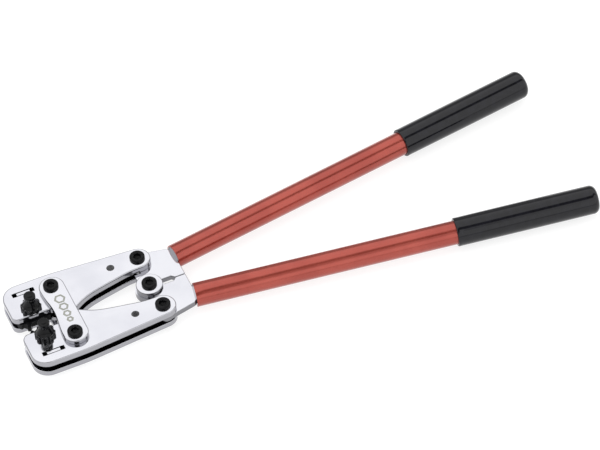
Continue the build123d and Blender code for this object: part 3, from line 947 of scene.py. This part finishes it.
@dataclass(frozen=True)
class Knob:
    """Pull-and-turn knob: fluted skirt, hollow taper, neck ring and flat cap, over a bored centre."""

    skirt: float = 11.4 * MM
    skirt_top: float = 5.3 * MM
    shoulder: float = 10.0 * MM
    neck: float = 5.9 * MM
    neck_start: float = 14.1 * MM
    cap: float = 6.45 * MM
    cap_start: float = 15.8 * MM
    cap_edge: float = 0.7 * MM
    spring_bore: float = 4.9 * MM
    spring_floor: float = 7.2 * MM
    spring_roof: float = 18.7 * MM
    axle_bore: float = 3.55 * MM
    flutes: int = 8
    flute: float = 3.2 * MM
    flute_centre: float = 12.6 * MM
    blend: float = 0.12 * MM
    foot_round: float = 0.8 * MM
    skirt_round: float = 1.0 * MM
    hollow: float = 0.45 * MM
    neck_ring: float = 0.35 * MM

    def profile(self, height: float) -> list:
        """Outside and inside of the knob from the roof of its bore to its top.

        Args:
            height: Full height of the knob.

        Returns:
            Pairs of radius and height above the knob's foot.
        """
        taper = np.linspace(0.0, 1.0, 9)[1:]
        hollow = np.sin(math.pi * taper) * self.hollow
        foot, skirt = self.skirt - self.foot_round, self.skirt - self.skirt_round
        cap_top = height - self.cap_edge
        return [
            (0.0, self.spring_roof),
            (self.spring_bore, self.spring_roof),
            (self.spring_bore, self.spring_floor),
            (self.axle_bore, self.spring_floor),
            (self.axle_bore, 0.0),
            (foot, 0.0),
            *quarter(foot, self.foot_round, self.foot_round, -75.0, 0.0, 5),
            (self.skirt, 0.5 * self.skirt_top),
            *quarter(skirt, self.skirt_top - self.skirt_round, self.skirt_round, 0.0, 80.0, 5),
            (self.shoulder, self.skirt_top),
            *zip(
                self.shoulder + (self.neck - self.shoulder) * taper - hollow,
                self.skirt_top + (self.neck_start - self.skirt_top) * taper,
            ),
            (self.neck, self.cap_start - 0.4 * MM),
            (self.neck - self.neck_ring, self.cap_start - 0.2 * MM),
            (self.neck - self.neck_ring, self.cap_start),
            (self.cap - 0.15 * MM, self.cap_start + 0.05 * MM),
            (self.cap, self.cap_start + 0.3 * MM),
            *quarter(self.cap - self.cap_edge, cap_top, self.cap_edge, 0.0, 90.0, 6),
            (0.55 * self.cap, height),
            (0.50 * self.cap, height - 0.15 * MM),
            (0.0, height - 0.2 * MM),
        ]

    def build(self, name: str, x: float, y: float, low: float, high: float) -> bpy.types.Object:
        """Makes the knob.

        Outside the bore, the radius is the lesser of the turned profile and the near side of the flutes. At
        angle d from a flute's middle that is flute_centre * cos d - sqrt(flute^2 - (flute_centre * sin d)^2).
        The two are blended over a small length so that the lobes have soft edges.

        Args:
            name: Name of the piece.
            x: Centre along the tool.
            y: Centre across the tool.
            low: Height of the knob's foot.
            high: Height of its top.

        Returns:
            The knob.
        """
        surface = Turned(name, Vector((x, y, low)), UP, 32 * self.flutes)
        radius, height = np.array(self.profile(high - low)).T
        sector = 2 * math.pi / self.flutes
        off = (surface.angles() + sector / 2) % sector - sector / 2
        room = self.flute**2 - (self.flute_centre * np.sin(off)) ** 2
        near = self.flute_centre * np.cos(off) - np.sqrt(np.maximum(room, 0.0))
        near = np.where(room > 0.0, near, 1.0)[None, :]
        turned = np.repeat(radius[:, None], surface.columns, axis=1)
        apart = np.abs(turned - near)
        fluted = np.minimum(turned, near) - self.blend * np.log1p(np.exp(-apart / self.blend))
        outside = radius > self.spring_bore + 0.2 * MM
        turned[outside] = fluted[outside]
        return surface.build(turned, height)


@dataclass(frozen=True)
class CoilSpring:
    """Compression spring, a round wire carried along a helix."""

    wire: float = 0.4 * MM
    turns: float = 5.0
    steps: int = 240
    sides: int = 12

    def build(self, name: str, low: Vector, high: Vector) -> bpy.types.Object:
        """Makes the spring that just fills a box.

        The wire's centre is (r cos a, r sin a, p a). Its section is spanned there by the outward direction
        and by the direction square to that and to the helix's tangent (-r sin a, r cos a, p).

        Args:
            name: Name of the piece.
            low: Lowest corner of the box.
            high: Highest corner of the box.

        Returns:
            The spring.
        """
        radius = (high.x - low.x) / 2 - self.wire
        bottom, rise = low.z + self.wire, high.z - low.z - 2 * self.wire
        turn = np.linspace(0.0, 2 * math.pi * self.turns, self.steps)
        outward = np.stack([np.cos(turn), np.sin(turn), np.zeros_like(turn)], axis=1)
        pitch = np.full_like(turn, rise / (2 * math.pi * self.turns))
        tangent = np.stack([-radius * np.sin(turn), radius * np.cos(turn), pitch], axis=1)
        upward = np.cross(outward, tangent / np.linalg.norm(tangent, axis=1, keepdims=True))
        centre = np.array([*centre_of(low, high), bottom])
        line = centre + radius * outward + (pitch * turn)[:, None] * np.array(UP)
        angle = np.linspace(0.0, 2 * math.pi, self.sides, endpoint=False)
        section = np.cos(angle)[None, :, None] * outward[:, None]
        section = section + np.sin(angle)[None, :, None] * upward[:, None]
        thickness = np.full((self.steps, 1, 1), self.wire)
        thickness[[0, -1]] = 0.0
        line[0], line[-1] = line[1], line[-2]
        return closed_piece(name, woven(name, line[:, None] + thickness * section))


@dataclass
class Jaw:
    """One jaw: plates, nose spacer, pins, lever bolt, die wheel on its axle, and knob."""

    side: Side
    finishes: Finishes
    pin: RivetPin = RivetPin()
    bolt: SocketBolt = SocketBolt(shank_radius=5.0 * MM)
    nut: HexNut = HexNut()
    knob: Knob = Knob()
    spring: CoilSpring = CoilSpring()
    spring_keep: float = 0.52
    margin: float = 0.05 * MM
    nose_reach: float = 8.0 * MM

    def build(self) -> None:
        """Builds and dresses the jaw."""
        node = self.side.node
        finishes = self.finishes
        gap_low, gap_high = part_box(node("pivot_bush"))
        slot_low, slot_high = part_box(node("nose_spacer"))
        slot = (slot_low + slot_high) / 2
        plate = PlateChrome(
            name=node("plate_chrome"),
            middle=(gap_low.z + gap_high.z) / 2,
            half_gap=(gap_high.z - gap_low.z) / 2 + self.margin,
            nose=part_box(node("jaw_plate_front"))[0].x + self.nose_reach,
            slot=(slot.x, slot.y),
        )
        dress(plate, node("jaw_plate_front"), node("jaw_plate_back"))
        dress(finishes.spacer, node("nose_spacer"))
        dress(finishes.steel, node("pivot_bush"), node("die_axle"), node("lock_pin"))
        dress(finishes.spring, node("axle_clip"))
        dress(finishes.die, node("die_wheel"))
        dress(finishes.oxide, node("knob_screw"))
        self.build_pin()
        place_bolt(
            node("lever_bolt"), node("lever_nut"), node("jaw"), self.bolt, self.nut, finishes.oxide
        )
        self.build_knob()
        self.build_spring()

    def build_pin(self) -> None:
        """Builds the riveted spacer pin."""
        node = self.side.node("spacer_pin")
        low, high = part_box(node)
        made = self.pin.build(node + "_riveted", *centre_of(low, high), low.z, high.z)
        fit(made, self.finishes.pin, Slot.OXIDE, self.side.node("jaw"), node)

    def build_knob(self) -> None:
        """Builds the knob."""
        node = self.side.node("knob")
        low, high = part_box(node)
        made = self.knob.build(node + "_fluted", *centre_of(low, high), low.z, high.z)
        fit(made, self.finishes.knob, Slot.OXIDE, self.side.node("knob"), node)

    def build_spring(self) -> None:
        """Builds the knob's spring, which rides on the die."""
        node = self.side.node("knob_spring")
        low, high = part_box(node)
        made = self.spring.build(node + "_coiled", low, high)
        fit(made, self.finishes.spring, Slot.SPRING, self.side.node("die"), node)
        self.side.node("knob_pull")
        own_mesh(made)


@dataclass
class Handle:
    """One handle: lever, lacquered tube and dipped grip."""

    side: Side
    finishes: Finishes
    wall: float = 1.75 * MM
    lip: float = 0.45 * MM
    grip_radius: float = 15.9 * MM
    grip_mouth: float = 1.2 * MM
    grip_end: float = 7.0 * MM
    grip_end_wall: float = 4.0 * MM
    grip_clearance: float = 0.05 * MM
    grip_inset: float = 0.12 * MM
    grip_swell: float = 0.10 * MM
    grip_rows: int = 24

    def build(self) -> None:
        """Builds and dresses the handle."""
        dress(self.finishes.lever, self.side.node("lever"))
        low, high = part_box(self.side.node("tube"))
        radius = (high.z - low.z) / 2
        direction, length = self.bar_in_box(high - low, radius)
        if self.side is Side.LOWER:
            direction.y = -direction.y
        start = (low + high) / 2 - direction * (length / 2)
        self.build_tube(start, direction, radius, length)
        self.build_grip(start, direction, radius, length)

    @staticmethod
    def bar_in_box(size: Vector, radius: float) -> tuple[Vector, float]:
        """Finds a level round bar from the box that it just fills.

        The box is length * cos + 2 * radius * sin long and length * sin + 2 * radius * cos wide, and the
        angle is found by repeated guesses.

        Args:
            size: Size of the box.
            radius: Radius of the bar.

        Returns:
            The bar's direction, with its Y upwards, and its length.
        """
        angle = 0.0
        for _ in range(40):
            across, along = 2 * radius * math.sin(angle), 2 * radius * math.cos(angle)
            angle = math.atan2(size.y - along, size.x - across)
        length = (size.x - 2 * radius * math.sin(angle)) / math.cos(angle)
        return Vector((math.cos(angle), math.sin(angle), 0.0)), length

    def build_tube(self, start: Vector, direction: Vector, radius: float, length: float) -> None:
        """Makes the open tube, its rims broken inside and out.

        Args:
            start: Middle of its front end.
            direction: Direction of its axis.
            radius: Outside radius.
            length: Length.
        """
        bore = radius - self.wall
        lip = self.lip
        node = self.side.node("tube")
        rows = [
            (bore, lip),
            (bore + 0.5 * lip, 0.0),
            *quarter(radius - lip, lip, lip, -90.0, 0.0, 5),
            *[(radius, part * length) for part in (0.02, 0.25, 0.5, 0.75, 0.98)],
            *quarter(radius - lip, length - lip, lip, 0.0, 90.0, 5),
            (bore, length),
        ]
        profile, height = np.array(rows).T
        made = Turned(node + "_drawn", start, direction, 128).build(profile, height, ring=True)
        fit(made, self.finishes.lacquer, Slot.LACQUER, self.side.node("handle"), node)

    def build_grip(self, start: Vector, direction: Vector, radius: float, length: float) -> None:
        """Makes the closed grip sleeve.

        Args:
            start: Middle of the tube's front end.
            direction: Direction of the tube's axis.
            radius: Outside radius of the tube.
            length: Length of the tube.
        """
        node = self.side.node("grip")
        low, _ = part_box(node)
        tilt = abs(direction.y)
        mouth = (low.x + (self.grip_radius - self.grip_mouth) * tilt - start.x) / direction.x
        mouth -= self.grip_mouth * (1.0 / direction.x - 1.0)
        inner = radius + self.grip_clearance
        end = length + self.grip_end_wall
        outer, rim = self.grip_radius, self.grip_mouth
        barrel = outer - self.grip_inset
        body = np.linspace(mouth + 3 * rim, end - self.grip_end, self.grip_rows)
        swell = self.grip_swell * np.sin(np.linspace(0.0, math.pi, self.grip_rows))
        rows = [
            (0.0, length),
            (inner, length),
            (inner, mouth + 0.3 * rim),
            (inner + 0.3 * rim, mouth),
            *quarter(outer - rim, mouth + rim, rim, -90.0, 0.0, 7),
            *zip(barrel + swell, body),
            *quarter(barrel - self.grip_end, end - self.grip_end, self.grip_end, 0.0, 82.0, 12)[1:],
            (0.45 * outer, end - 0.02 * MM),
            (0.2 * outer, end),
            (0.0, end),
        ]
        profile, height = np.array(rows).T
        made = Turned(node + "_dipped", start, direction, 144).build(profile, height)
        fit(made, self.finishes.vinyl, Slot.GRIP, self.side.node("handle"), node)


# ---- studio


@dataclass(frozen=True)
class Viewpoint:
    """Where the camera stands and what it looks at."""

    azimuth: float = -18.745
    elevation: float = 48.0
    roll: float = -5.744
    distance: float = 5.586
    lens: float = 309.402
    sensor: float = 36.0
    clip: Pair = (0.05, 60.0)
    target: Triple = (0.010192, 0.002255, 0.0333)

    def away(self) -> Vector:
        """Direction from the target to the camera."""
        azimuth, elevation = math.radians(self.azimuth), math.radians(self.elevation)
        level = math.cos(elevation)
        return Vector((math.sin(azimuth) * level, -math.cos(azimuth) * level, math.sin(elevation)))

    def build(self) -> None:
        """Makes the scene's camera."""
        back = self.away()
        right = UP.cross(back).normalized()
        up = back.cross(right)
        roll = math.radians(self.roll)
        cos, sin = math.cos(roll), math.sin(roll)
        right, up = right * cos + up * sin, up * cos - right * sin
        data = bpy.data.cameras.new("camera")
        data.lens, data.sensor_width = self.lens, self.sensor
        data.clip_start, data.clip_end = self.clip
        camera = bpy.data.objects.new("camera", data)
        place = Vector(self.target) + back * self.distance
        camera.matrix_world = Matrix.Translation(place) @ Matrix((right, up, back)).transposed().to_4x4()
        bpy.context.scene.collection.objects.link(camera)
        bpy.context.scene.camera = camera


@dataclass(frozen=True)
class Studio:
    """Pale floor under a broad soft sky, whose darker bands draw the shapes of the bright metal.

    A direction's angle runs from 0 degrees at the front horizon over 90 at the top to the back horizon.
    """

    view: Viewpoint
    bright: float = 1.45
    front_horizon: Pair = (1.0, 9.0)
    front_wall: float = 0.45
    back_edge: Pair = (138.0, 151.0)
    back_wall: float = 0.30
    gap_level: float = 0.10
    gap_middle: float = 63.0
    gap_slope: float = 38.0
    gap_width: Pair = (6.0, 13.0)
    card_radius: Pair = (11.0, 18.0)
    card_level: float = 0.06
    floor_half: float = 6.0
    floor_shade: float = 0.32
    floor_glow: float = 0.76
    floor_fibre: float = 1.01
    key_size: float = 2.4
    key_energy: float = 30.0
    key_place: Triple = (-0.9, -1.2, 2.6)

    def build(self) -> None:
        """Makes the sky, the floor, the key light and the camera."""
        self.view.build()
        self.build_sky()
        self.build_floor()
        self.build_key()
        settings = bpy.context.scene.view_settings
        settings.view_transform = "Standard"
        settings.look = "None"

    def build_sky(self) -> None:
        """Makes the world: a bright vault with a darker gap across it and a dark patch round the camera."""
        world = bpy.data.worlds.new("studio")
        world.use_nodes = True
        sheet = NodeSheet(world.node_tree)
        place = sheet.add("ShaderNodeTexCoord").outputs["Generated"]
        split = sheet.add("ShaderNodeSeparateXYZ", {0: place})
        x, y, z = split.outputs
        angle = sheet.math("ARCTAN2", z, sheet.math("MULTIPLY", y, -1.0))
        degrees = sheet.math("MULTIPLY", angle, 180.0 / math.pi)
        middle = sheet.math("MULTIPLY_ADD", x, self.gap_slope, self.gap_middle)
        off = sheet.math("ABSOLUTE", sheet.math("SUBTRACT", degrees, middle))
        lit = sheet.remap(off, *self.gap_width, self.gap_level, 1.0)
        lit = sheet.math("MULTIPLY", lit, sheet.remap(degrees, *self.front_horizon, self.front_wall, 1.0))
        lit = sheet.math("MULTIPLY", lit, sheet.remap(degrees, *self.back_edge, 1.0, self.back_wall))
        toward = sheet.dot(place, self.view.away())
        near, far = (math.cos(math.radians(edge)) for edge in self.card_radius)
        lit = sheet.math("MULTIPLY", lit, sheet.remap(toward, far, near, 1.0, self.card_level))
        lit = sheet.math("MULTIPLY", lit, self.bright)
        glow = sheet.add("ShaderNodeBackground", {"Color": WHITE, "Strength": lit})
        sheet.add("ShaderNodeOutputWorld", {"Surface": glow.outputs[0]})
        bpy.context.scene.world = world

    def build_floor(self) -> None:
        """Makes the floor, a level sheet under the lowest point of the tool."""
        half = self.floor_half
        corners = [(-half, -half, 0.0), (half, -half, 0.0), (half, half, 0.0), (-half, half, 0.0)]
        mesh = bpy.data.meshes.new("floor")
        mesh.from_pydata(corners, [], [(0, 1, 2, 3)])
        floor = bpy.data.objects.new("floor", mesh)
        bpy.context.scene.collection.objects.link(floor)
        paper = bpy.data.materials.new("floor_paper")
        paper.use_nodes = True
        sheet = NodeSheet(paper.node_tree)
        dark, light = (self.floor_shade,) * 3, (self.floor_shade * self.floor_fibre,) * 3
        colour = sheet.tint(sheet.noise(3.0, detail=2.0), dark, light)
        shader = sheet.add("ShaderNodeBsdfDiffuse", {"Color": colour})
        lit = sheet.add("ShaderNodeEmission", {"Color": WHITE, "Strength": self.floor_glow})
        both = sheet.add("ShaderNodeAddShader", {0: shader.outputs[0], 1: lit.outputs[0]})
        sheet.add("ShaderNodeOutputMaterial", {"Surface": both.outputs[0]})
        mesh.materials.append(paper)

    def build_key(self) -> None:
        """Makes a broad soft light from the front left that reflections don't show."""
        data = bpy.data.lights.new("key", "AREA")
        data.shape = "DISK"
        data.size = self.key_size
        data.energy = self.key_energy
        key = bpy.data.objects.new("key", data)
        away = Vector(self.key_place)
        key.matrix_world = Matrix.Translation(away) @ away.to_track_quat("Z", "Y").to_matrix().to_4x4()
        key.visible_glossy = False
        bpy.context.scene.collection.objects.link(key)


def main() -> None:
    """Builds the tool's sub-assemblies in order, then the studio round them."""
    logging.basicConfig(level=logging.INFO, format="%(name)s: %(message)s")
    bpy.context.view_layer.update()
    finishes = Finishes()
    Link(finishes).build()
    CentrePivot(finishes).build()
    for side in Side:
        Jaw(side, finishes).build()
        Handle(side, finishes).build()
    Studio(Viewpoint()).build()


if __name__ == "__main__":
    main()
